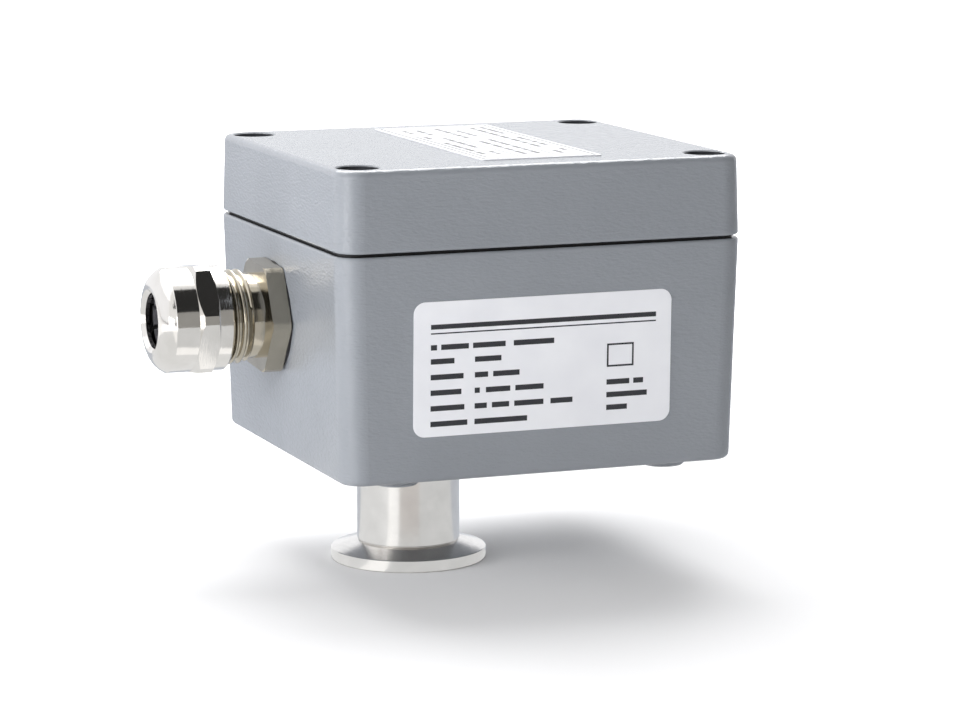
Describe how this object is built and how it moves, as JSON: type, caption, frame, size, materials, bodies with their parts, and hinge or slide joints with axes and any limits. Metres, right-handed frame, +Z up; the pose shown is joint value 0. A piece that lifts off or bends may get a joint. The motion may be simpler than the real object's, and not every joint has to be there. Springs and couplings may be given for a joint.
{
  "type": "vacuum pressure switch",
  "caption": "Grey die-cast box on a stainless small-flange vacuum port, with a nickel-plated cable gland on its side and a film label on its front.",
  "frame": {"origin": "centre of the small flange's sealing face", "axes": "+Z up the port's axis, -Y out of the face with the large label, -X along the cable gland"},
  "size_m": [0.1044, 0.075, 0.08],
  "materials": {
    "grey_powder_coat": "fine textured powder coat",
    "nickel_plate": "turned and nickel plated",
    "stainless_steel": "fine turned",
    "screw_steel": "bright zinc",
    "label_film": "satin film",
    "black_rubber": "matt moulded",
    "black_nylon": "moulded",
    "gilt_pin": "gilt",
    "board_laminate": "solder mask",
    "terminal_plastic": "moulded",
    "relay_plastic": "moulded",
    "trimmer_plastic": "moulded",
    "capacitor_sleeve": "shrunk sleeve",
    "brass": "turned"
  },
  "bodies": {
    "housing": {"housing_base": "grey_powder_coat", "housing_lid": "grey_powder_coat", "lid_gasket": "black_rubber", "lid_screws": "screw_steel", "rating_label": "label_film", "wiring_label": "label_film", "gland_body": "nickel_plate", "gland_cap_nut": "nickel_plate", "gland_clamp_insert": "black_nylon", "gland_seal_insert": "black_rubber", "gland_o_ring": "black_rubber", "gland_lock_nut": "nickel_plate", "vacuum_port": "stainless_steel", "port_o_ring": "black_rubber", "port_lock_nut": "stainless_steel", "sensor_cell": "stainless_steel", "sensor_o_ring": "black_rubber", "sensor_retaining_ring": "stainless_steel", "sensor_pins": "gilt_pin", "circuit_board": "board_laminate", "board_screws": "screw_steel", "terminal_block": "terminal_plastic", "terminal_screws": "screw_steel", "relay": "relay_plastic", "setpoint_trimmer": "trimmer_plastic", "zero_trimmer": "trimmer_plastic", "voltage_regulator": "black_nylon", "filter_capacitor": "capacitor_sleeve", "amplifier_chip": "black_nylon", "earth_screw": "brass", "earth_washer": "screw_steel"},
    "setpoint_adjuster": {"setpoint_screw": "brass"},
    "zero_adjuster": {"zero_screw": "brass"}
  },
  "joints": [
    {"name": "setpoint_turn", "type": "hinge", "parent": "housing", "child": "setpoint_adjuster", "pos_m": [0.0287, -0.014, 0.04], "axis": [0, 0, 1], "range_deg": [-135, 135]},
    {"name": "zero_turn", "type": "hinge", "parent": "housing", "child": "zero_adjuster", "pos_m": [0.0167, -0.014, 0.04], "axis": [0, 0, 1], "range_deg": [-135, 135]}
  ]
}
